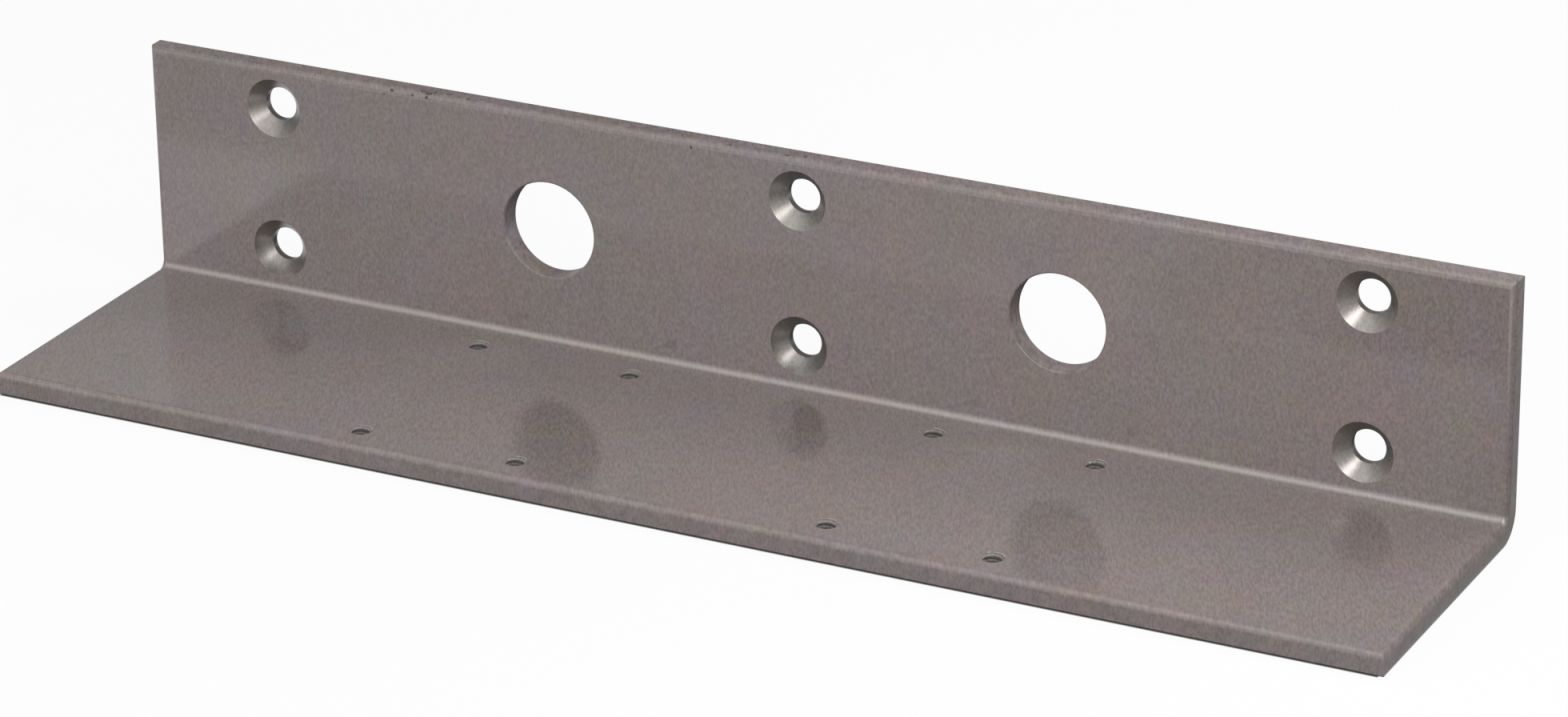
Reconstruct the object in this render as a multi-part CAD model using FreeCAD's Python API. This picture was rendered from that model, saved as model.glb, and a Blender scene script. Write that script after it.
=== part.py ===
import FreeCAD, Part

import math
import os

from FreeCAD import Vector

# Door closer angle bracket: one thick steel plate, blanked, pierced and folded once.
# The upright leg is screwed to the door head. The level leg carries the closer.
# Millimetres. X runs along the bracket, Y from the level leg's free edge towards the
# door head, Z up. The origin is the middle of the footprint, at the underside of the
# level leg.

# The plate and its fold
bracket_length = 311.15
overall_height = 55.56
overall_depth = 69.85
plate_thickness = 4.76
inside_bend_radius = 1.6

# The blanking die rounds the edges on its own side, which is the inside of the angle.
# The other side keeps a nearly sharp edge with the burr knocked off.
edge_roll = 1.5
edge_break = 0.3

# Countersunk screw holes in the upright leg: three columns of two
screw_hole_diameter = 7.4
screw_head_diameter = 13.0
screw_head_angle = 82.0
screw_end_margin = 30.7
screw_row_margin = 9.3

# Large clearance holes in the upright leg
clearance_hole_diameter = 21.2
clearance_hole_pitch = 116.9
clearance_hole_above_leg = 25.0
clearance_hole_roll = 0.4

# Tapped holes in the level leg: two groups of four, No. 10-24 thread.
# The wall stands at the thread's crests, and the mouth is countersunk a little past
# the outside of the thread.
tap_wall_diameter = 3.86
tap_mouth_diameter = 4.9
tap_group_pitch = 106.2
tap_column_pitch = 36.1
tap_row_pitch = 48.7
tap_front_margin = 7.5

# Faces that the holes are placed from
front_y = -overall_depth / 2
back_y = overall_depth / 2
inner_y = back_y - plate_thickness
leg_top_z = plate_thickness
past_face = 1.0


def angle_section():
    """The L-shaped end view, as a closed wire in the YZ plane at the left end."""
    left = -bracket_length / 2
    outside_bend_radius = inside_bend_radius + plate_thickness
    bend_y = inner_y - inside_bend_radius
    bend_z = leg_top_z + inside_bend_radius
    middle = math.sqrt(0.5)

    def at(y, z):
        return Vector(left, y, z)

    inside_arc = Part.Arc(
        at(bend_y, leg_top_z),
        at(bend_y + inside_bend_radius * middle, bend_z - inside_bend_radius * middle),
        at(inner_y, bend_z))
    outside_arc = Part.Arc(
        at(back_y, bend_z),
        at(bend_y + outside_bend_radius * middle, bend_z - outside_bend_radius * middle),
        at(bend_y, 0))
    edges = [
        Part.LineSegment(at(front_y, 0), at(front_y, leg_top_z)).toShape(),
        Part.LineSegment(at(front_y, leg_top_z), at(bend_y, leg_top_z)).toShape(),
        inside_arc.toShape(),
        Part.LineSegment(at(inner_y, bend_z), at(inner_y, overall_height)).toShape(),
        Part.LineSegment(at(inner_y, overall_height), at(back_y, overall_height)).toShape(),
        Part.LineSegment(at(back_y, overall_height), at(back_y, bend_z)).toShape(),
        outside_arc.toShape(),
        Part.LineSegment(at(bend_y, 0), at(front_y, 0)).toShape(),
    ]
    return Part.Wire(edges)


def folded_plate():
    """The section drawn out to the bracket's length."""
    return Part.Face(angle_section()).extrude(Vector(bracket_length, 0, 0))


def depth_into_plate(point):
    """How far a point lies below the inside of the angle, along the plate's thickness."""
    bend_y = inner_y - inside_bend_radius
    bend_z = leg_top_z + inside_bend_radius
    if point.y < bend_y:
        return leg_top_z - point.z
    if point.z > bend_z:
        return point.y - inner_y
    return math.hypot(point.y - bend_y, point.z - bend_z) - inside_bend_radius


def outline_edges(plate, depth):
    """The edges of the blank's outline that lie on the inside face or the outside face."""
    found = []
    for edge in plate.Edges:
        first = edge.FirstParameter
        last = edge.LastParameter
        spots = [edge.valueAt(first + (last - first) * share) for share in (0.1, 0.5, 0.9)]
        on_face = all(abs(depth_into_plate(spot) - depth) < 0.001 for spot in spots)
        on_outline = all(is_on_outline(spot) for spot in spots)
        if on_face and on_outline:
            found.append(edge)
    return found


def is_on_outline(point):
    """True on the two ends, the top edge and the level leg's free edge."""
    on_end = abs(abs(point.x) - bracket_length / 2) < 0.001
    on_top = abs(point.z - overall_height) < 0.001
    on_front = abs(point.y - front_y) < 0.001
    return on_end or on_top or on_front


def blanked_plate():
    """The folded plate with its rolled inside edges and its deburred outside edges."""
    plate = folded_plate()
    plate = plate.makeFillet(edge_roll, outline_edges(plate, 0))
    return plate.makeFillet(edge_break, outline_edges(plate, plate_thickness))


def drill(radius_and_depth, place, direction):
    """A turned cutter. Its outline is a list of (radius, depth below the face)."""
    axis = Vector(0, 0, 1)
    points = [Vector(radius, 0, -depth) for radius, depth in radius_and_depth]
    top = Vector(0, 0, points[0].z)
    foot = Vector(0, 0, points[-1].z)
    outline = Part.makePolygon([top] + points + [foot, top])
    cutter = Part.Face(outline).revolve(Vector(0, 0, 0), axis, 360)
    cutter.Placement = FreeCAD.Placement(place, FreeCAD.Rotation(axis, direction))
    return cutter


def screw_hole(x, z):
    """A hole for a flat-headed screw, countersunk from the inside of the angle."""
    hole_radius = screw_hole_diameter / 2
    head_radius = screw_head_diameter / 2
    slope = math.tan(math.radians(screw_head_angle / 2))
    head_depth = (head_radius - hole_radius) / slope
    outline = [
        (head_radius + past_face * slope, -past_face),
        (hole_radius, head_depth),
        (hole_radius, plate_thickness + past_face),
    ]
    return drill(outline, Vector(x, inner_y, z), Vector(0, -1, 0))


def clearance_hole(x):
    """A large plain hole through the upright leg."""
    radius = clearance_hole_diameter / 2
    z = leg_top_z + clearance_hole_above_leg
    place = Vector(x, inner_y - past_face, z)
    return Part.makeCylinder(radius, plate_thickness + 2 * past_face, place, Vector(0, 1, 0))


def tapped_hole(x, y):
    """A tapped hole through the level leg, with a small countersink at both faces."""
    wall_radius = tap_wall_diameter / 2
    mouth_radius = tap_mouth_diameter / 2
    chamfer = mouth_radius - wall_radius
    outline = [
        (mouth_radius + past_face, -past_face),
        (wall_radius, chamfer),
        (wall_radius, plate_thickness - chamfer),
        (mouth_radius + past_face, plate_thickness + past_face),
    ]
    return drill(outline, Vector(x, y, leg_top_z), Vector(0, 0, 1))


def screw_holes():
    """Two rows of three: at both ends and at the middle."""
    column = bracket_length / 2 - screw_end_margin
    low_row = leg_top_z + screw_row_margin
    high_row = overall_height - screw_row_margin
    return [screw_hole(x, z) for x in (-column, 0, column) for z in (low_row, high_row)]


def clearance_holes():
    """One each side of the middle."""
    return [clearance_hole(side * clearance_hole_pitch / 2) for side in (-1, 1)]


def tapped_holes():
    """Two groups of four, one each side of the middle."""
    holes = []
    front_row = front_y + tap_front_margin
    for group in (-1, 1):
        for column in (-1, 1):
            x = (group * tap_group_pitch + column * tap_column_pitch) / 2
            for y in (front_row, front_row + tap_row_pitch):
                holes.append(tapped_hole(x, y))
    return holes


def clearance_rims(plate):
    """The circles of the large holes at the inside of the angle."""
    rims = []
    for edge in plate.Edges:
        curve = edge.Curve
        if isinstance(curve, Part.Circle):
            is_large = abs(curve.Radius - clearance_hole_diameter / 2) < 0.001
            is_inside = abs(curve.Center.y - inner_y) < 0.001
            if is_large and is_inside:
                rims.append(edge)
    return rims


def angle_bracket():
    """The finished bracket. The punch rounds the large holes at the inside of the angle."""
    plate = blanked_plate()
    plate = plate.cut(screw_holes() + clearance_holes() + tapped_holes())
    return plate.makeFillet(clearance_hole_roll, clearance_rims(plate)).Solids[0]


os.makedirs("parts", exist_ok=True)
bracket = angle_bracket()
bracket.exportStep("parts/angle_bracket.step")
print("angle_bracket: volume", round(bracket.Volume), "mm3, closed", bracket.isClosed())
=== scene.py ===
# %% [markdown]
# # A door closer's angle bracket
#
# The real thing is one thick steel plate. It is blanked, drilled and tapped, folded once to a
# right angle, and sprayed with a satin enamel. The lesson builds it in the same order: a flat
# leg, a fold, rolled edges, holes, threads, and last the finish and the studio round it.
#
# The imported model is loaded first, because every size that the scene uses has to agree with it.

import math

import bmesh
import bpy
from mathutils import Matrix, Quaternion, Vector


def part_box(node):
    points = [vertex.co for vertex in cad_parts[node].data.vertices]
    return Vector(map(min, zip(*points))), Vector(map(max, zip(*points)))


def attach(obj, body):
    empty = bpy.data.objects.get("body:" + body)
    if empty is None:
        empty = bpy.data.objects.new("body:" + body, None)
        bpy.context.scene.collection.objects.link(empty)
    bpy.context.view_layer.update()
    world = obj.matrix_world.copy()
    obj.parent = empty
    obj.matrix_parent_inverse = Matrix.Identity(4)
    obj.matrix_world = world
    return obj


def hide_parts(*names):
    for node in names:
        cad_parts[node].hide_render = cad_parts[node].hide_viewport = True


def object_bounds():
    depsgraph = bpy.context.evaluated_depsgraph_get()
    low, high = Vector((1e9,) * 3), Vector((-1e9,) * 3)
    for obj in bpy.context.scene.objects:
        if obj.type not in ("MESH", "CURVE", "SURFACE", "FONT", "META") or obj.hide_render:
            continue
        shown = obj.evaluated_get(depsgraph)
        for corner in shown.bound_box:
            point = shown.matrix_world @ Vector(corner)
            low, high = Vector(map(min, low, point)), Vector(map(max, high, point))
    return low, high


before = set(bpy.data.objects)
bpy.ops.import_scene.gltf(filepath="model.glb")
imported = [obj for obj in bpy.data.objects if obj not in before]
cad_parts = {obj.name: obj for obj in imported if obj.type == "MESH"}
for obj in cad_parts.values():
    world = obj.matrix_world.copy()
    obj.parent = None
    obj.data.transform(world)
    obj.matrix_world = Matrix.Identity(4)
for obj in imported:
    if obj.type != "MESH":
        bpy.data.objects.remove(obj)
cad_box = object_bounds()
MM = 0.001
print("box in mm:", [round(side / MM, 2) for side in cad_box[1] - cad_box[0]])

# %% [markdown]
# ## The camera
#
# The picture was taken with a long lens, from the right of the bracket and a little above it. The
# far end is hardly smaller than the near one, which is how a long lens shows itself. So the
# camera is put where it stood by three plain numbers, a turn, a height angle and a distance, and
# then rolled by the small amount that it was held out of level.

# %% The camera's stand and lens
CAMERA_TURN = 27.183
CAMERA_HEIGHT = 23.238
CAMERA_ROLL = -0.73
CAMERA_DISTANCE = 1240.64 * MM
LENS = 137.73
SENSOR_WIDTH = 36
SEES_FROM, SEES_TO = 0.01, 20
LOOKS_AT = Vector((-3.44, 30.16, 10.67)) * MM


def direction(turn, height):
    """The unit vector to something at that turn and height: 0 is the front, 90 the right."""
    turn, height = math.radians(turn), math.radians(height)
    across = math.cos(height)
    return Vector((math.sin(turn) * across, -math.cos(turn) * across, math.sin(height)))


def stand_camera():
    """Makes the camera and aims it."""
    lens = bpy.data.cameras.new("camera")
    lens.lens = LENS
    lens.sensor_width = SENSOR_WIDTH
    lens.clip_start, lens.clip_end = SEES_FROM, SEES_TO
    camera = bpy.data.objects.new("camera", lens)
    bpy.context.scene.collection.objects.link(camera)
    back = direction(CAMERA_TURN, CAMERA_HEIGHT)
    roll = Quaternion((0, 0, 1), math.radians(CAMERA_ROLL))
    camera.rotation_mode = "QUATERNION"
    camera.rotation_quaternion = (-back).to_track_quat("-Z", "Y") @ roll
    camera.location = LOOKS_AT + back * CAMERA_DISTANCE
    bpy.context.scene.camera = camera
    return camera


camera = stand_camera()
print("camera at, in mm:", [round(v / MM, 1) for v in camera.location])

# %% [markdown]
# ## Small helpers for nodes
#
# A material is a small network. A few helpers keep each network short to read. One adds a node
# and sets what it is given, one joins an output to an input, and two more make the nodes that
# come up most: a sum, and a mix of two colours.

# %% Adding and joining nodes
def add(tree, kind, **settings):
    """A new node with the given settings. A setting that is an input's name sets that input."""
    made = tree.nodes.new("ShaderNode" + kind)
    for name, value in settings.items():
        if hasattr(made, name):
            setattr(made, name, value)
        else:
            made.inputs[name.replace("_", " ")].default_value = value
    return made


def join(tree, source, target):
    """Gives an input another node's output, or else a plain value."""
    if isinstance(source, bpy.types.NodeSocket):
        tree.links.new(source, target)
    else:
        target.default_value = source


def maths(tree, operation, first, second):
    """A Math node. Each side is a number or another node's output."""
    made = add(tree, "Math", operation=operation)
    join(tree, first, made.inputs[0])
    join(tree, second, made.inputs[1])
    return made.outputs[0]


def mix_colours(tree, first, second, share, blend="MIX"):
    """A Mix node for colours. Each part is a plain value or another node's output."""
    made = add(tree, "Mix", data_type="RGBA", blend_type=blend)
    share_socket, first_socket, second_socket = (made.inputs[place] for place in (0, 6, 7))
    join(tree, first, first_socket)
    join(tree, second, second_socket)
    join(tree, share, share_socket)
    return made.outputs[2]


def grey(tone):
    """An even grey, as a colour with its alpha."""
    return (tone, tone, tone, 1)


# %% [markdown]
# ## The floor and the sky
#
# A catalogue picture has a white ground that carries no picture of its own. The floor is real
# pale card, so it takes the bracket's soft shadow. The eye of the camera, and whatever mirrors
# the floor, also see a share of plain white in it, which lifts the card to the white of the
# picture without any more light on the steel.
#
# Two things keep the lower edges dark, as the picture has them. For the light that it throws back
# up, the floor counts as a darker card. And along the bracket's front and rear edges a thin shadow
# is painted on the card: the white stops there and the card's own colour turns dark, so a thin
# dark line of contact stays.

# %% White for the eye, plain light for the object
PAPER_WHITE = grey(1)
WHITE_SHARE = 0.92
PAPER = 0.60
BOUNCE = 0.12
TOOTH_SCALE = 900.0
TOOTH_DEPTH = 0.0002
SKY_LIGHT = 0.44
FLOOR_SIDE = 12.0
FLOOR_DROP = 0.02 * MM
# Where the painted contact shadow lies, and how dark it is.
CONTACT_SHADOW_X = cad_box[1].x - 1.5 * MM
CONTACT_SHADOW_Y = cad_box[1].y
PAINTED_CONTACT_SHADOW_TONE = 0.08
CONTACT_SHADOW_FROM, CONTACT_SHADOW_TO = 0.1 * MM, 0.6 * MM


def seen_directly(tree):
    """1 for rays from the eye, from a mirror or through glass, and 0 for all others."""
    path = add(tree, "LightPath")
    seen = maths(tree, "MAXIMUM", path.outputs["Is Camera Ray"], path.outputs["Is Glossy Ray"])
    return maths(tree, "MAXIMUM", seen, path.outputs["Is Transmission Ray"])


def clear_of_painted_contact_shadow(tree):
    """0 under the bracket and in its painted contact shadow, 1 from a hair's breadth in front of
    its front edge.
    """
    place = add(tree, "TexCoord")
    spot = add(tree, "SeparateXYZ")
    join(tree, place.outputs["Object"], spot.inputs[0])
    beside = maths(tree, "SUBTRACT", maths(tree, "ABSOLUTE", spot.outputs["X"], 0.0), CONTACT_SHADOW_X)
    before = maths(tree, "SUBTRACT", maths(tree, "ABSOLUTE", spot.outputs["Y"], 0.0), CONTACT_SHADOW_Y)
    fade = add(tree, "MapRange", interpolation_type="SMOOTHSTEP",
               From_Min=CONTACT_SHADOW_FROM, From_Max=CONTACT_SHADOW_TO)
    join(tree, maths(tree, "MAXIMUM", beside, before), fade.inputs["Value"])
    return fade.outputs[0]


def pale_card():
    """The floor's material."""
    card = bpy.data.materials.new("pale_card")
    card.use_nodes = True
    tree = card.node_tree
    tree.nodes.clear()
    clear = clear_of_painted_contact_shadow(tree)
    path = add(tree, "LightPath")
    tone = mix_colours(tree, grey(PAPER), grey(BOUNCE), path.outputs["Is Diffuse Ray"])
    # Painted shadow: the card's colour turns dark along the bracket's front and rear edges.
    shaded = mix_colours(tree, grey(PAINTED_CONTACT_SHADOW_TONE), tone, clear)
    paper = add(tree, "BsdfPrincipled", Roughness=0.9)
    join(tree, shaded, paper.inputs["Base Color"])
    tooth = add(tree, "TexNoise", Scale=TOOTH_SCALE, Detail=3.0)
    bump = add(tree, "Bump", Strength=0.15, Distance=TOOTH_DEPTH)
    place = add(tree, "TexCoord")
    join(tree, place.outputs["Object"], tooth.inputs["Vector"])
    join(tree, tooth.outputs["Fac"], bump.inputs["Height"])
    join(tree, bump.outputs["Normal"], paper.inputs["Normal"])
    white = add(tree, "Emission", Color=PAPER_WHITE, Strength=1.0)
    mix = add(tree, "MixShader")
    out = add(tree, "OutputMaterial")
    share = maths(tree, "MULTIPLY", seen_directly(tree), WHITE_SHARE)
    # The white share stops in the painted contact shadow too.
    join(tree, maths(tree, "MULTIPLY", share, clear), mix.inputs[0])
    join(tree, paper.outputs[0], mix.inputs[1])
    join(tree, white.outputs[0], mix.inputs[2])
    join(tree, mix.outputs[0], out.inputs["Surface"])
    return card


def lay_floor():
    """A wide sheet of card, just under the bracket."""
    bm = bmesh.new()
    bmesh.ops.create_grid(bm, x_segments=1, y_segments=1, size=FLOOR_SIDE / 2)
    bmesh.ops.translate(bm, vec=(0, 0, -FLOOR_DROP), verts=bm.verts)
    mesh = bpy.data.meshes.new("floor")
    bm.to_mesh(mesh)
    bm.free()
    floor = bpy.data.objects.new("floor", mesh)
    floor.data.materials.append(pale_card())
    bpy.context.scene.collection.objects.link(floor)


def hang_sky():
    """White to the eye and in mirrors, and an even soft light on everything else."""
    world = bpy.data.worlds.new("studio")
    world.use_nodes = True
    tree = world.node_tree
    tree.nodes.clear()
    white = add(tree, "Background", Color=PAPER_WHITE, Strength=1.0)
    light = add(tree, "Background", Color=PAPER_WHITE, Strength=SKY_LIGHT)
    mix = add(tree, "MixShader")
    out = add(tree, "OutputWorld")
    join(tree, seen_directly(tree), mix.inputs[0])
    join(tree, light.outputs[0], mix.inputs[1])
    join(tree, white.outputs[0], mix.inputs[2])
    join(tree, mix.outputs[0], out.inputs["Surface"])
    bpy.context.scene.world = world


lay_floor()
hang_sky()
bpy.context.scene.view_settings.view_transform = "Standard"
print("floor side in m:", FLOOR_SIDE)

# %% [markdown]
# ## The lamps
#
# The cones of the screw holes tell where the main lamp stood. Each one mirrors it on its lower
# left side, and on a cone of a known slope that puts the lamp on the right, in front and some 40
# degrees up. It is a soft panel, because the bright patch has soft ends. Five weaker panels fill
# in from the other sides and from above.
#
# A panel can be left out of mirrors, or be seen by nothing else. The fills in front and behind
# are left out, because the picture has no reflection of them. The last panel lights nothing: it
# is only mirrored in the fold and along the rolled edges, where it draws the pale lines.

# %% Soft panels round the bracket
BRACKET_MIDDLE = Vector((0, 15, 25)) * MM


def hang_panel(name, turn, height, away, side, brightness, light=True, mirrored=True):
    """A square soft panel, aimed at the bracket. Brightness 1 looks as white as lit paper."""
    panel = bpy.data.lights.new(name, "AREA")
    panel.shape = "SQUARE"
    panel.size = side
    panel.energy = brightness * math.pi * side * side
    lamp = bpy.data.objects.new(name, panel)
    toward = direction(turn, height)
    lamp.location = BRACKET_MIDDLE + toward * away
    lamp.rotation_mode = "QUATERNION"
    lamp.rotation_quaternion = toward.to_track_quat("Z", "Y")
    lamp.visible_camera = False
    lamp.visible_diffuse, lamp.visible_glossy = light, mirrored
    bpy.context.scene.collection.objects.link(lamp)
    share = side * side / away / away
    print(name, "lights a facing card to", round(brightness * share / math.pi, 2))


hang_panel("key_panel", turn=68, height=44, away=0.6, side=0.2, brightness=11.6)
hang_panel("right_panel", turn=35, height=30, away=0.5, side=0.25, brightness=3.4)
hang_panel("front_panel", turn=-20, height=15, away=0.8, side=0.4, brightness=4.2,
           mirrored=False)
hang_panel("left_panel", turn=-60, height=20, away=0.7, side=0.35, brightness=1.2)
hang_panel("top_panel", turn=0, height=65, away=0.6, side=0.3, brightness=1.25)
hang_panel("rear_panel", turn=150, height=52, away=0.5, side=0.25, brightness=5.7,
           mirrored=False)
hang_panel("fold_panel", turn=-40, height=45, away=1.0, side=0.7, brightness=0.85, light=False)

# %% [markdown]
# ## Cards that only mirrors see
#
# The level leg is looked at so flatly that it works as a weak mirror. Right of its left end it
# mirrors the upright leg, and through that leg's holes it mirrors whatever stands behind the
# bracket. In the picture most of those spots are darker than the steel round them, so a row of
# dark strips stands behind the holes, each as dark as its hole needs. The bright cones of the
# left and the middle low screw holes aren't mirrored in the picture either, so a small flag hangs
# in front of each.
#
# The mats on the floor in front are for the upright leg. It gets a little darker towards its right
# end, so the mats do too, in steps. The dark mat behind is for the walls of the large holes, and
# the two mats on the right are for the bracket's right end. The cards far behind are for the top
# edge, the level leg's left end and its rolled right end. Nothing but a mirror sees any of these:
# they take no light from the bracket and throw no shadow.

# %% Cards and mats that only mirrors see
def place_card(name, low_corner, high_corner, tone):
    """A flat card between two opposite corners, in mm. Only mirrors can see it."""
    paint = bpy.data.materials.new(name)
    paint.use_nodes = True
    tree = paint.node_tree
    tree.nodes.clear()
    shade = add(tree, "Emission", Color=grey(tone), Strength=1.0)
    out = add(tree, "OutputMaterial")
    join(tree, shade.outputs[0], out.inputs["Surface"])
    low_corner, high_corner = Vector(low_corner) * MM, Vector(high_corner) * MM
    size = high_corner - low_corner
    bm = bmesh.new()
    bmesh.ops.create_cube(bm, size=1.0)
    bmesh.ops.scale(bm, vec=size, verts=bm.verts)
    bmesh.ops.translate(bm, vec=(low_corner + high_corner) / 2, verts=bm.verts)
    mesh = bpy.data.meshes.new(name)
    bm.to_mesh(mesh)
    bm.free()
    card = bpy.data.objects.new(name, mesh)
    mesh.materials.append(paint)
    card.visible_camera = card.visible_diffuse = card.visible_shadow = False
    bpy.context.scene.collection.objects.link(card)


# name, two opposite corners in mm, and how light it is
CARDS = [
    ("grey_card_left", (-900, 600, 0), (-396, 602, 450), 0.36),
    ("dark_card", (-395, 600, 0), (-278, 602, 450), 0.03),
    ("grey_card_right", (-277, 600, 0), (140, 602, 450), 0.48),
    ("end_card", (141, 600, 0), (600, 602, 450), 0.10),
    ("high_card", (-900, 600, 451), (600, 602, 1500), 0.10),
    ("end_strip", (-255, 200, 86), (-206, 201, 126.5), 0.15),
    ("dark_strip", (-205, 200, 86), (-46, 201, 126.5), 0.01),
    ("grey_strip", (-45, 200, 86), (0, 201, 126.5), 0.06),
    ("right_strip", (1, 200, 86), (78, 201, 126.5), 0.03),
    ("left_flag", (-131.4, 29.1, 9.4), (-126.2, 29.2, 15.2), 0.17),
    ("middle_flag", (-6.5, 29.1, 9.4), (-1.3, 29.2, 15.2), 0.17),
    ("front_mat", (-240, -130, 0.2), (40, -46, 0.6), 0.54),
    ("second_mat", (40.1, -130, 0.2), (80, -46, 0.6), 0.32),
    ("third_mat", (80.1, -130, 0.2), (320, -46, 0.6), 0.08),
    ("dark_mat", (-125, 36, 0.2), (154, 160, 0.6), 0.08),
    ("near_mat", (155.8, -34, 0.2), (159.6, 45, 0.6), 0.50),
    ("grey_mat", (159.8, -45, 0.2), (320, 300, 0.6), 0.44),
]
for card_values in CARDS:
    place_card(*card_values)
print("cards and mats:", len(CARDS))

# %% [markdown]
# ## Sizes of the bracket
#
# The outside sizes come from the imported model's own box, so the piece can't drift away from it.
# The rest are the plate's real sizes: its thickness, the fold's inside radius, and the holes,
# which are standard ones for flat-headed screws and for a number 10 machine thread.

# %% The plate, the fold and the holes
low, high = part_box("angle_bracket")
THICKNESS = 4.76 * MM
FOLD_RADIUS = 1.6 * MM
EDGE_ROLL = 1.5 * MM
EDGE_BREAK = 0.3 * MM
SCREW_RADIUS, HEAD_RADIUS, HEAD_ANGLE = 3.7 * MM, 6.5 * MM, 82
CLEARANCE_RADIUS, CLEARANCE_ROLL = 10.6 * MM, 0.4 * MM
TAP_RADIUS, MOUTH_RADIUS = 1.93 * MM, 2.45 * MM

inner_y = high.y - THICKNESS
leg_top = low.z + THICKNESS
fold_y = inner_y - FOLD_RADIUS
fold_z = leg_top + FOLD_RADIUS
print("inside faces at, in mm: y", round(inner_y / MM, 2), "z", round(leg_top / MM, 2))

# %% [markdown]
# ## Folding the plate
#
# The section could be drawn as an outline and pulled out lengthwise. Folding it is truer and
# shorter: the level leg starts as a block, its rear end is turned through a quarter circle round
# the fold's own axis, and the end that is now on top is drawn up to the full height. The
# thickness stays the same all the way round, as it does in a press brake.

# %% A leg, a quarter turn, a second leg
FOLD_STEPS = 18
QUARTER_TURN, FULL_TURN = math.radians(90), math.radians(360)
WELD = 0.0001 * MM


def fold_plate():
    """The folded plate with all its edges still sharp."""
    bm = bmesh.new()
    bmesh.ops.create_cube(bm, size=1.0)
    leg = Vector((high.x - low.x, fold_y - low.y, THICKNESS))
    bmesh.ops.scale(bm, vec=leg, verts=bm.verts)
    middle = Vector(((low.x + high.x) / 2, (low.y + fold_y) / 2, low.z + THICKNESS / 2))
    bmesh.ops.translate(bm, vec=middle, verts=bm.verts)
    rear = [face for face in bm.faces if face.normal.y > 0.9]
    turned = bmesh.ops.spin(
        bm, geom=rear, cent=(0, fold_y, fold_z), axis=(1, 0, 0),
        angle=QUARTER_TURN, steps=FOLD_STEPS)
    end = [part for part in turned["geom_last"] if isinstance(part, bmesh.types.BMFace)]
    drawn = bmesh.ops.extrude_face_region(bm, geom=end)
    bmesh.ops.delete(bm, geom=rear + end, context="FACES_ONLY")
    top_verts = [part for part in drawn["geom"] if isinstance(part, bmesh.types.BMVert)]
    bmesh.ops.translate(bm, vec=(0, 0, high.z - fold_z), verts=top_verts)
    bmesh.ops.remove_doubles(bm, verts=bm.verts, dist=WELD)
    bmesh.ops.recalc_face_normals(bm, faces=bm.faces)
    return bm


plate = fold_plate()
open_edges = [edge for edge in plate.edges if not edge.is_manifold]
print("folded plate:", len(plate.faces), "faces,", len(open_edges), "open edges,",
      round(plate.calc_volume() / MM ** 3), "cubic mm")

# %% [markdown]
# ## Rolled edges
#
# A blanking die pulls the plate's rim round on the side that it enters from, and leaves the other
# side nearly sharp. Here the rounded side is the inside of the angle: it shows as the pale band
# along the top edge, and as the mitre where that band meets the right end. A bevel with a round
# profile makes both. The edges are found by where they lie, not by number, so the fold can have
# any number of steps.

# %% Finding the outline's edges and rounding them
NEAR = 0.005 * MM
ROLL_STEPS, BREAK_STEPS = 8, 3


def depth_into_plate(point):
    """How far a point lies below the inside of the angle."""
    if point.y < fold_y:
        return leg_top - point.z
    if point.z > fold_z:
        return point.y - inner_y
    return math.hypot(point.y - fold_y, point.z - fold_z) - FOLD_RADIUS


def outline_planes(point):
    """Which of the four sides of the blank's outline a point lies on."""
    gaps = (point.x - low.x, high.x - point.x, high.z - point.z, point.y - low.y)
    return {side for side, gap in enumerate(gaps) if abs(gap) < NEAR}


def outline_edges(bm, depth):
    """The edges that run along the outline at that depth into the plate."""
    found = []
    for edge in bm.edges:
        one, two = (vert.co for vert in edge.verts)
        shared = outline_planes(one) & outline_planes(two)
        if shared and all(abs(depth_into_plate(end) - depth) < NEAR for end in (one, two)):
            found.append(edge)
    return found


def round_edges(bm, edges, radius, steps):
    """Rounds edges to a true arc."""
    bmesh.ops.bevel(
        bm, geom=edges, offset=radius, offset_type="OFFSET", segments=steps,
        profile=0.5, affect="EDGES", material=-1, clamp_overlap=False)


round_edges(plate, outline_edges(plate, 0), EDGE_ROLL, ROLL_STEPS)
round_edges(plate, outline_edges(plate, THICKNESS), EDGE_BREAK, BREAK_STEPS)
print("rolled plate:", len(plate.faces), "faces,",
      round(plate.calc_volume() / MM ** 3), "cubic mm")

# %% [markdown]
# ## Cutters that are turned, like real drills
#
# A countersink, a punched hole and a tapping hole are all round, so each cutter is an outline of
# radius and depth, turned about its axis. The outlines start a little above the plate and end a
# little below it, so that no cutter face lies in the plate's own face.

# %% A lathe for cutters
PAST = 1.0 * MM
INTO_HEAD = Matrix.Rotation(QUARTER_TURN, 4, "X")
INTO_LEG = Matrix.Identity(4)
SCREW_STEPS, CLEARANCE_STEPS, TAP_STEPS = 72, 128, 48
ROLL_ANGLES = (80, 60, 40, 20, 0)


def turn(bm, outline, steps, place, facing):
    """Turns an outline of (radius, depth) into a closed cutter and puts it in its place."""
    before = set(bm.verts)
    depths = [depth for radius, depth in outline]
    closed = [(0, depths[0])] + outline + [(0, depths[-1])]
    verts = [bm.verts.new((radius, 0, -depth)) for radius, depth in closed]
    edges = [bm.edges.new(pair) for pair in zip(verts, verts[1:])]
    bmesh.ops.spin(
        bm, geom=verts + edges, cent=(0, 0, 0), axis=(0, 0, 1),
        angle=FULL_TURN, steps=steps, use_merge=True)
    made = [vert for vert in bm.verts if vert not in before]
    bmesh.ops.remove_doubles(bm, verts=made, dist=WELD)
    made = [vert for vert in bm.verts if vert not in before]
    bmesh.ops.transform(bm, matrix=Matrix.Translation(place) @ facing, verts=made)


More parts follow.
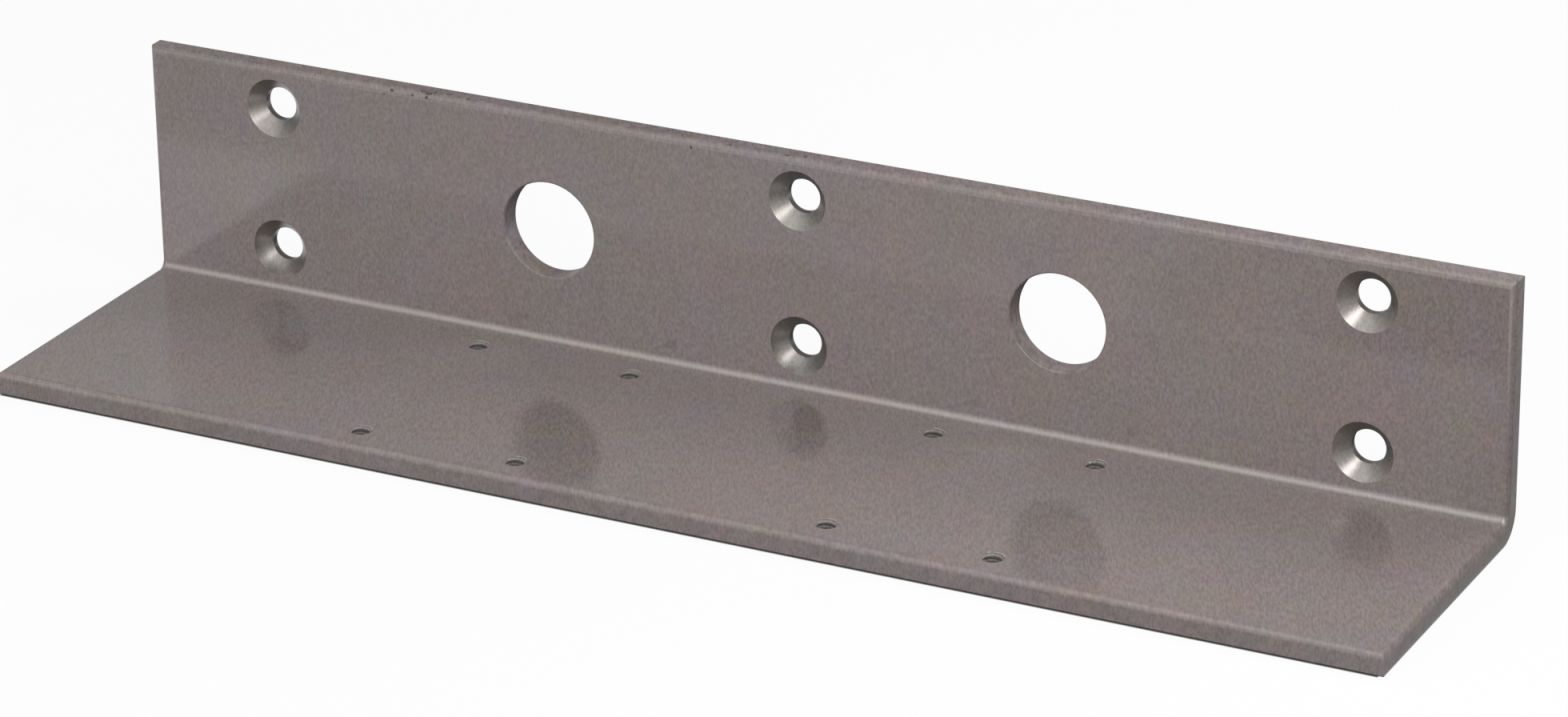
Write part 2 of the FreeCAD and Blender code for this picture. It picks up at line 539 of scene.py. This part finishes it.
def screw_hole(bm, x, z):
    """A hole for a flat-headed screw, countersunk from the inside of the angle."""
    slope = math.tan(math.radians(HEAD_ANGLE / 2))
    outline = [
        (HEAD_RADIUS + PAST * slope, -PAST),
        (SCREW_RADIUS, (HEAD_RADIUS - SCREW_RADIUS) / slope),
        (SCREW_RADIUS, THICKNESS + PAST)]
    turn(bm, outline, SCREW_STEPS, Vector((x, inner_y, z)), INTO_HEAD)


def clearance_hole(bm, x, z):
    """A large punched hole, with the punch's small roll at the inside of the angle."""
    radius, roll = CLEARANCE_RADIUS, CLEARANCE_ROLL
    outline = []
    for angle in ROLL_ANGLES:
        sine, cosine = math.sin(math.radians(angle)), math.cos(math.radians(angle))
        outline.append((radius + roll * (1 - cosine), roll * (1 - sine)))
    flare_slope = math.tan(math.radians(ROLL_ANGLES[0]))
    flare = (outline[0][0] + PAST * flare_slope, outline[0][1] - PAST)
    outline = [flare] + outline + [(radius, THICKNESS + PAST)]
    turn(bm, outline, CLEARANCE_STEPS, Vector((x, inner_y, z)), INTO_HEAD)


def tapping_hole(bm, x, y):
    """A hole at the thread's inner size, with a small countersink at both faces."""
    slant = MOUTH_RADIUS - TAP_RADIUS
    outline = [
        (MOUTH_RADIUS + PAST, -PAST),
        (TAP_RADIUS, slant),
        (TAP_RADIUS, THICKNESS - slant),
        (MOUTH_RADIUS + PAST, THICKNESS + PAST)]
    turn(bm, outline, TAP_STEPS, Vector((x, y, leg_top)), INTO_LEG)


# %% [markdown]
# ## Where the holes are
#
# The pattern mirrors about the middle: three columns of two screw holes, two large holes between
# them, and two groups of four tapped holes in the level leg.

# %% The pattern of holes
SCREW_COLUMNS = [x * MM for x in (-124.875, 0, 124.875)]
SCREW_ROWS = [leg_top + 9.3 * MM, high.z - 9.3 * MM]
SCREW_PLACES = [(x, z) for x in SCREW_COLUMNS for z in SCREW_ROWS]
CLEARANCE_COLUMNS = [x * MM for x in (-58.45, 58.45)]
CLEARANCE_ROW = leg_top + 25.0 * MM
TAP_COLUMNS = [x * MM for x in (-71.15, -35.05, 35.05, 71.15)]
TAP_ROWS = [low.y + 7.5 * MM, low.y + 56.2 * MM]
TAP_PLACES = [(x, y) for x in TAP_COLUMNS for y in TAP_ROWS]
print("screw holes:", len(SCREW_PLACES), "tapped holes:", len(TAP_PLACES))

# %% [markdown]
# ## Nicks along the top edge
#
# The top edge has taken a few knocks: small scoops, darker than the band that they break, in one
# group well to the left and a looser one just left of the middle. A squashed ball, set so that it
# only grazes the edge, cuts each of them.

# %% Small squashed balls
# x along the edge, y, z, and the three half sizes, all in mm
NICKS = [
    (-97.31, 30.1, 54.0, 0.25, 0.20, 0.25),
    (-95.57, 30.4, 55.1, 0.50, 0.42, 0.42),
    (-90.49, 30.3, 54.9, 0.30, 0.28, 0.36),
    (-88.53, 31.6, 55.6, 0.70, 0.60, 0.28),
    (-87.10, 30.3, 54.9, 0.34, 0.28, 0.50),
    (-86.90, 31.0, 55.5, 0.85, 0.55, 0.34),
    (-85.76, 31.8, 55.6, 0.60, 0.70, 0.26),
    (-82.67, 32.3, 55.6, 0.75, 0.50, 0.26),
    (-80.05, 31.6, 55.6, 0.40, 0.30, 0.22),
    (-77.65, 31.4, 55.6, 0.55, 0.30, 0.22),
    (-24.30, 30.1, 54.0, 0.34, 0.22, 0.42),
    (-15.97, 31.3, 55.6, 0.60, 0.50, 0.26),
    (-2.67, 31.2, 55.6, 0.65, 0.40, 0.30),
    (1.03, 32.0, 55.6, 0.35, 0.60, 0.26),
]


def nick(bm, x, y, z, *half_sizes):
    """One squashed ball."""
    place = Matrix.Translation(Vector((x, y, z)) * MM)
    squash = Matrix.Diagonal((*half_sizes, 1 / MM)) * MM
    bmesh.ops.create_icosphere(bm, subdivisions=2, radius=1.0, matrix=place @ squash)


# %% [markdown]
# ## Cutting
#
# All the cutters go into one mesh and are taken out of the plate at once. The exact solver is
# used, because it doesn't mind thin slivers where a round hole meets a flat face.

# %% Into the plate
def place_object(bm, name):
    """Puts a bmesh into a new object at the origin."""
    mesh = bpy.data.meshes.new(name)
    bm.to_mesh(mesh)
    bm.free()
    made = bpy.data.objects.new(name, mesh)
    bpy.context.scene.collection.objects.link(made)
    return made


def cut_away(piece, cutter):
    """Takes the cutter out of the piece and removes the cutter."""
    cut = piece.modifiers.new("cut", "BOOLEAN")
    cut.operation, cut.solver, cut.object = "DIFFERENCE", "EXACT", cutter
    graph = bpy.context.evaluated_depsgraph_get()
    mesh = bpy.data.meshes.new_from_object(piece.evaluated_get(graph))
    piece.modifiers.clear()
    piece.data = mesh
    bpy.data.objects.remove(cutter)
    print(piece.name, "now has", len(mesh.vertices), "vertices")


def drilled_cutters():
    """Every turned cutter and every nick in one mesh."""
    bm = bmesh.new()
    for x, z in SCREW_PLACES:
        screw_hole(bm, x, z)
    for x in CLEARANCE_COLUMNS:
        clearance_hole(bm, x, CLEARANCE_ROW)
    for x, y in TAP_PLACES:
        tapping_hole(bm, x, y)
    for values in NICKS:
        nick(bm, *values)
    bmesh.ops.recalc_face_normals(bm, faces=bm.faces)
    return place_object(bm, "cutters")


bracket = place_object(plate, "bracket")
cut_away(bracket, drilled_cutters())

# %% [markdown]
# ## Threads
#
# The tapped holes carry a real thread, 24 turns to the inch. A small wedge of the thread's own
# shape, sixty degrees between its flanks, is wound round the hole's axis while it climbs, and the
# coil that it leaves is cut out of the wall. It starts below the plate and ends above it, so the
# groove runs out through both mouths, as a tap leaves it.

# %% Winding a thread cutter
PITCH = 25.4 * MM / 24
THREAD_RADIUS = 2.413 * MM
THREAD_FOOT = 1.75 * MM
ROOT_FLAT = PITCH / 8
FLANK_ANGLE = 30
STEPS_A_TURN = 40


def thread_groove(bm, x, y):
    """A wedge wound into a coil round one tapped hole."""
    before = set(bm.verts)
    climb = THICKNESS + 2 * PITCH
    turns = climb / PITCH
    half_root = ROOT_FLAT / 2
    half_foot = half_root + (THREAD_RADIUS - THREAD_FOOT) * math.tan(math.radians(FLANK_ANGLE))
    corners = [
        (THREAD_FOOT, half_foot), (THREAD_FOOT, -half_foot),
        (THREAD_RADIUS, -half_root), (THREAD_RADIUS, half_root)]
    wedge = bm.faces.new([bm.verts.new((radius, 0, z)) for radius, z in corners])
    steps = round(turns * STEPS_A_TURN)
    bmesh.ops.spin(
        bm, geom=[wedge], cent=(0, 0, 0), axis=(0, 0, 1), dvec=(0, 0, climb / steps),
        angle=FULL_TURN * turns, steps=steps)
    made = [vert for vert in bm.verts if vert not in before]
    start = Vector((x, y, low.z - PITCH))
    bmesh.ops.translate(bm, vec=start, verts=made)


def thread_cutters():
    """The eight coils in one mesh."""
    bm = bmesh.new()
    for x, y in TAP_PLACES:
        thread_groove(bm, x, y)
    bmesh.ops.remove_doubles(bm, verts=bm.verts, dist=WELD)
    bmesh.ops.recalc_face_normals(bm, faces=bm.faces)
    print("thread cutters:", len(bm.faces), "faces,",
          len([edge for edge in bm.edges if not edge.is_manifold]), "open edges")
    return place_object(bm, "thread_cutters")


cut_away(bracket, thread_cutters())

# %% [markdown]
# ## Which faces are which
#
# Each face is sorted by where it lies: in a countersink, in a tapped hole below its mouth, in a
# nick or on the thin break of the outer edges, or anywhere else. The nicks and the outer break
# share one dark finish, and on the break that darkness is painted shade. The spray has reached the
# mouths of the tapped holes, so they keep the enamel. A scrap of bare metal also lies where the
# fold meets the rolled right end, and glints there.
#
# Two values go with the corners of each face, and the finish reads both. One is called sheared: 0
# on the flats, and 1 where an edge has turned all the way to the outside of the blank, or where
# the punch has gone through. The other is called fold, and is 1 along the middle of the inside
# bend.

# %% Sorting faces and marking edges
ENAMEL, SEAT, THREAD, NICK_AND_SHADED_BREAK = range(4)
FLAT, ALL_BUT_FLAT = 0.95, 0.99
A_LITTLE = 0.1 * MM
MOUTH_TILT, TILT_MARGIN = math.sqrt(0.5), 0.05
NICK_MARGIN = 1.02
SCRAP_DEPTH = 1.2 * MM


def finish_of(face):
    """The finish of one face of the bracket."""
    spot = face.calc_center_median()
    for x, z in SCREW_PLACES:
        away = math.hypot(spot.x - x, spot.z - z)
        on_cone = away < HEAD_RADIUS + A_LITTLE and abs(face.normal.y) < FLAT
        if on_cone and spot.y > inner_y - NEAR:
            return SEAT
    on_mouth = abs(abs(face.normal.z) - MOUTH_TILT) < TILT_MARGIN
    for x, y in TAP_PLACES:
        away = math.hypot(spot.x - x, spot.y - y)
        if away < MOUTH_RADIUS + NEAR and abs(face.normal.z) < FLAT and not on_mouth:
            return THREAD
    for x, y, z, *half_sizes in NICKS:
        parts = [(spot[axis] / MM - middle) / half
                 for axis, (middle, half) in enumerate(zip((x, y, z), half_sizes))]
        if math.hypot(*parts) < NICK_MARGIN:
            return NICK_AND_SHADED_BREAK
    depth = depth_into_plate(spot)
    gap = min(spot.x - low.x, high.x - spot.x, spot.y - low.y)
    # Painted shade: the thin outer break at the front and the ends takes the nicks' dark finish.
    if depth > THICKNESS - EDGE_BREAK - NEAR and gap < EDGE_BREAK + NEAR:
        return NICK_AND_SHADED_BREAK
    in_fold = spot.y > fold_y and spot.z < fold_z
    if in_fold and A_LITTLE < depth < SCRAP_DEPTH and high.x - spot.x < EDGE_ROLL:
        return SEAT
    return ENAMEL


def edge_values(vert):
    """How far a vertex is turned to the outside of the blank, and how near the fold's middle."""
    x, y, z = vert.co
    fold = 0.0
    if y > fold_y and z < fold_z and depth_into_plate(vert.co) < EDGE_ROLL:
        fold = math.sin(2 * math.atan2(y - fold_y, fold_z - z))
    sides = [
        (x - low.x, -vert.normal.x), (high.x - x, vert.normal.x),
        (high.z - z, vert.normal.z), (y - low.y, -vert.normal.y)]
    turned = max([facing for gap, facing in sides if gap < EDGE_ROLL + NEAR] + [0.0])
    return turned, fold * (1 - turned)


def is_punched(face):
    """True on the wall of a large hole and on the small roll at its mouth."""
    spot = face.calc_center_median()
    away = min(math.hypot(spot.x - x, spot.z - CLEARANCE_ROW) for x in CLEARANCE_COLUMNS)
    return away < CLEARANCE_RADIUS + CLEARANCE_ROLL and abs(face.normal.y) < ALL_BUT_FLAT


def sort_faces(piece):
    """Sets each face's material and shading, and the two values at each of its corners."""
    bm = bmesh.new()
    bm.from_mesh(piece.data)
    bm.normal_update()
    sheared = bm.loops.layers.float.new("sheared")
    fold = bm.loops.layers.float.new("fold")
    counts = [0] * 4
    for face in bm.faces:
        face.smooth = True
        face.material_index = finish_of(face)
        counts[face.material_index] += 1
        punched = is_punched(face)
        for corner in face.loops:
            corner[sheared], corner[fold] = (1.0, 0.0) if punched else edge_values(corner.vert)
    loose = [edge for edge in bm.edges if not edge.is_manifold]
    print("faces in enamel, seats, threads and chips:", counts, "open edges:", len(loose),
          "volume:", round(bm.calc_volume() / MM ** 3, 1))
    bm.to_mesh(piece.data)
    bm.free()


SHARP_ANGLE = 28
sort_faces(bracket)
bracket.data.set_sharp_from_angle(angle=math.radians(SHARP_ANGLE))
even = bracket.modifiers.new("even_shading", "WEIGHTED_NORMAL")
even.keep_sharp = True
even.weight = 100

# %% [markdown]
# ## The finish
#
# The enamel is a warm grey with fine bright flake in it, sprayed thin enough that it is not quite
# even: small flecks, drawn out a little one way, faint clouds about a centimetre wide that lean
# pink or green, and a very fine peel in the surface. Where the die has torn the rim there are
# also lighter and darker patches, some two millimetres wide. One node group makes all of these,
# and each material sets its own sizes.

# %% The sprayed coat, as a group
GRAIN_TURN = -27
GRAIN_STRETCH = (1.0, 0.22, 0.45)
CLOUD_SIZE, SWELL_SIZE, TORN_SIZE = 12.0, 4.0, 2.0
LEAN = (0.9, 0.6, 1.3)
SWELL = 1.5
DARKEST_TORN, LIGHTEST_TORN = 0.80, 1.20


def new_group(name, inputs, outputs):
    """An empty node group with named sockets, and its two end nodes."""
    group = bpy.data.node_groups.new(name, "ShaderNodeTree")
    for title, kind, value in inputs:
        socket = group.interface.new_socket(title, in_out="INPUT", socket_type=kind)
        if value is not None:
            socket.default_value = value
    for title, kind in outputs:
        group.interface.new_socket(title, in_out="OUTPUT", socket_type=kind)
    start = group.nodes.new("NodeGroupInput")
    end = group.nodes.new("NodeGroupOutput")
    return group, start, end


def noise(tree, place, size, detail, roughness):
    """A Noise node whose marks are about that size, in mm. The size is a number or an output."""
    made = add(tree, "TexNoise", Detail=detail, Roughness=roughness)
    join(tree, place, made.inputs["Vector"])
    join(tree, maths(tree, "DIVIDE", 1.0, size), made.inputs["Scale"])
    return made


def harder(tree, marks, **ends):
    """The same marks with more contrast, as a number from 0 to 1 or between other ends."""
    made = add(tree, "MapRange", From_Min=0.30, From_Max=0.70, **ends)
    join(tree, marks.outputs["Fac"], made.inputs["Value"])
    return made.outputs[0]


def sprayed_coat():
    """Flecks, a drift of colour, the height of the peel and torn patches, in millimetres."""
    group, start, end = new_group(
        "sprayed_coat",
        [("Place", "NodeSocketVector", None),
         ("Fleck size", "NodeSocketFloat", 0.45),
         ("Speckle", "NodeSocketFloat", 0.25),
         ("Drift", "NodeSocketFloat", 0.25)],
        [("Fleck", "NodeSocketFloat"), ("Tint", "NodeSocketColor"), ("Height", "NodeSocketFloat"),
         ("Torn", "NodeSocketFloat")])
    given = start.outputs
    turned = add(
        group, "VectorRotate", rotation_type="Z_AXIS", Angle=math.radians(GRAIN_TURN))
    join(group, given["Place"], turned.inputs["Vector"])
    longer = add(group, "Mapping", Scale=GRAIN_STRETCH)
    join(group, turned.outputs[0], longer.inputs["Vector"])
    fleck = noise(group, longer.outputs[0], given["Fleck size"], 1.0, 0.6)
    join(group, harder(group, fleck), end.inputs["Fleck"])

    tint = None
    layers = (
        (longer.outputs[0], maths(group, "MULTIPLY", given["Fleck size"], 1.3), given["Speckle"]),
        (given["Place"], CLOUD_SIZE, given["Drift"]))
    for place, size, strength in layers:
        marks = noise(group, place, size, 1.0, 0.5)
        centred = add(group, "VectorMath", operation="SUBTRACT")
        centred.inputs[1].default_value = (0.5, 0.5, 0.5)
        join(group, marks.outputs["Color"], centred.inputs[0])
        leaning = add(group, "VectorMath", operation="MULTIPLY")
        leaning.inputs[1].default_value = LEAN
        join(group, centred.outputs[0], leaning.inputs[0])
        scaled = add(group, "VectorMath", operation="SCALE")
        join(group, leaning.outputs[0], scaled.inputs[0])
        join(group, strength, scaled.inputs["Scale"])
        added = add(group, "VectorMath", operation="ADD")
        added.inputs[1].default_value = (1.0, 1.0, 1.0)
        join(group, scaled.outputs[0], added.inputs[0])
        if tint:
            join(group, tint, added.inputs[1])
        tint = added.outputs[0]
    join(group, tint, end.inputs["Tint"])
    soft = noise(group, given["Place"], SWELL_SIZE, 2.0, 0.5)
    swell = maths(group, "MULTIPLY", soft.outputs["Fac"], SWELL)
    join(group, maths(group, "ADD", fleck.outputs["Fac"], swell), end.inputs["Height"])
    torn = noise(group, given["Place"], TORN_SIZE, 3.0, 0.6)
    patches = harder(group, torn, To_Min=DARKEST_TORN, To_Max=LIGHTEST_TORN)
    join(group, patches, end.inputs["Torn"])
    return group


coat_group = sprayed_coat()
print("group:", coat_group.name, [s.name for s in coat_group.interface.items_tree])

# %% [markdown]
# ## Four finishes from one coat
#
# The flats carry the enamel and a clear gloss over it, which is what makes the level leg a weak
# mirror. A sprayed gloss pulls back from every edge, so it fades out over the first part of each
# roll and bend. Sheared faces are coarser, patchy and a little darker. Along the middle of the
# fold the colour is lightened towards a pale steel grey as a painted highlight, and the surface is
# a little rougher there.
#
# In the countersinks the enamel is thin and the bright steel comes through. The threads show dark,
# oiled steel, and the nicks are darker still, and dull. The outer break takes the same dark, dull
# finish as painted shade along the edges at the front and the ends.

# %% The materials
# Among these are the pale colour of the painted highlight along the fold and how narrow it is.
FOLD_HIGHLIGHT_COLOUR = (0.42, 0.39, 0.36)
GLOSS_ENDS = 0.3
GLOSS_ROUGHNESS = 0.11
FOLD_HIGHLIGHT_NARROWS = 3.0
FLECK_COARSENS, EDGE_COARSENS, FOLD_COARSENS = 0.06, 0.20, 0.10


def finish(name, dark, light, metal, rough, fleck_size, speckle, drift, peel,
           ior=1.45, ends=1.0, fold_highlight=0.0, clear=0.0):
    """One finish: two tones of fleck, how much its colour varies, and how it shines."""
    material = bpy.data.materials.new(name)
    material.use_nodes = True
    tree = material.node_tree
    tree.nodes.clear()
    skin = add(
        tree, "BsdfPrincipled", Metallic=metal, IOR=ior, Coat_Roughness=GLOSS_ROUGHNESS)
    out = add(tree, "OutputMaterial")
    join(tree, skin.outputs[0], out.inputs["Surface"])
    place = add(tree, "TexCoord")
    millimetres = add(tree, "Mapping", Scale=(1 / MM, 1 / MM, 1 / MM))
    join(tree, place.outputs["Object"], millimetres.inputs["Vector"])
    coat = add(tree, "Group", node_tree=coat_group, Speckle=speckle, Drift=drift)
    coat.inputs["Fleck size"].default_value = fleck_size
    join(tree, millimetres.outputs[0], coat.inputs["Place"])

    tone = mix_colours(tree, (*dark, 1), (*light, 1), coat.outputs["Fleck"])
    colour = mix_colours(tree, tone, coat.outputs["Tint"], 1.0, "MULTIPLY")

    sheared = add(tree, "Attribute", attribute_name="sheared").outputs["Fac"]
    fold = add(tree, "Attribute", attribute_name="fold").outputs["Fac"]
    middle = maths(tree, "POWER", fold, FOLD_HIGHLIGHT_NARROWS)
    torn = maths(tree, "MULTIPLY", coat.outputs["Torn"], ends)
    shown = mix_colours(tree, colour, torn, sheared, "MULTIPLY")
    # Painted highlight: the colour is lightened along the middle of the fold.
    if fold_highlight:
        fold_highlight_share = maths(tree, "MULTIPLY", middle, fold_highlight)
        shown = mix_colours(tree, shown, (*FOLD_HIGHLIGHT_COLOUR, 1), fold_highlight_share)
    join(tree, shown, skin.inputs["Base Color"])

    if clear:
        gloss = add(tree, "MapRange", From_Max=GLOSS_ENDS, To_Min=clear, To_Max=0.0)
        join(tree, maths(tree, "ADD", sheared, fold), gloss.inputs["Value"])
        join(tree, gloss.outputs[0], skin.inputs["Coat Weight"])

    spread = maths(tree, "MULTIPLY", coat.outputs["Fleck"], FLECK_COARSENS)
    coarser = maths(tree, "MULTIPLY", sheared, EDGE_COARSENS)
    milder = maths(tree, "MULTIPLY", middle, FOLD_COARSENS)
    together = maths(tree, "ADD", spread, maths(tree, "ADD", coarser, milder))
    join(tree, maths(tree, "ADD", together, rough), skin.inputs["Roughness"])
    bump = add(tree, "Bump", Strength=1.0, Distance=peel * MM)
    join(tree, coat.outputs["Height"], bump.inputs["Height"])
    join(tree, bump.outputs["Normal"], skin.inputs["Normal"])
    return material


enamel = finish(
    "satin_enamel", dark=(0.151, 0.126, 0.1225), light=(0.211, 0.176, 0.171), metal=0.0,
    rough=0.11, fleck_size=0.45, speckle=0.30, drift=0.22, peel=0.003, ends=0.88, fold_highlight=0.43,
    clear=1.0)
seat = finish(
    "thin_enamel_in_the_countersinks", dark=(0.20, 0.185, 0.175), light=(0.27, 0.25, 0.235),
    metal=0.8, rough=0.34, fleck_size=0.30, speckle=0.2, drift=0.1, peel=0.002)
thread = finish(
    "oiled_thread", dark=(0.14, 0.127, 0.12), light=(0.26, 0.238, 0.223), metal=0.3,
    rough=0.42, fleck_size=0.25, speckle=0.1, drift=0.1, peel=0.001)
# Dark and dull: real in the nicks, painted shade on the outer break.
nick_and_shaded_break_finish = finish(
    "nicks_and_painted_shade_on_the_break", dark=(0.065, 0.057, 0.048), light=(0.125, 0.11, 0.095), metal=0.0,
    rough=0.60, fleck_size=0.35, speckle=0.2, drift=0.1, peel=0.01, ior=1.2)
for material in (enamel, seat, thread, nick_and_shaded_break_finish):
    bracket.data.materials.append(material)
print("finishes:", [material.name for material in bracket.data.materials])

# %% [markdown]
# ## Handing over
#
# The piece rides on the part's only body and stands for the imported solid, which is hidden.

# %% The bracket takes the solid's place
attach(bracket, "root")
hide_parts("angle_bracket")
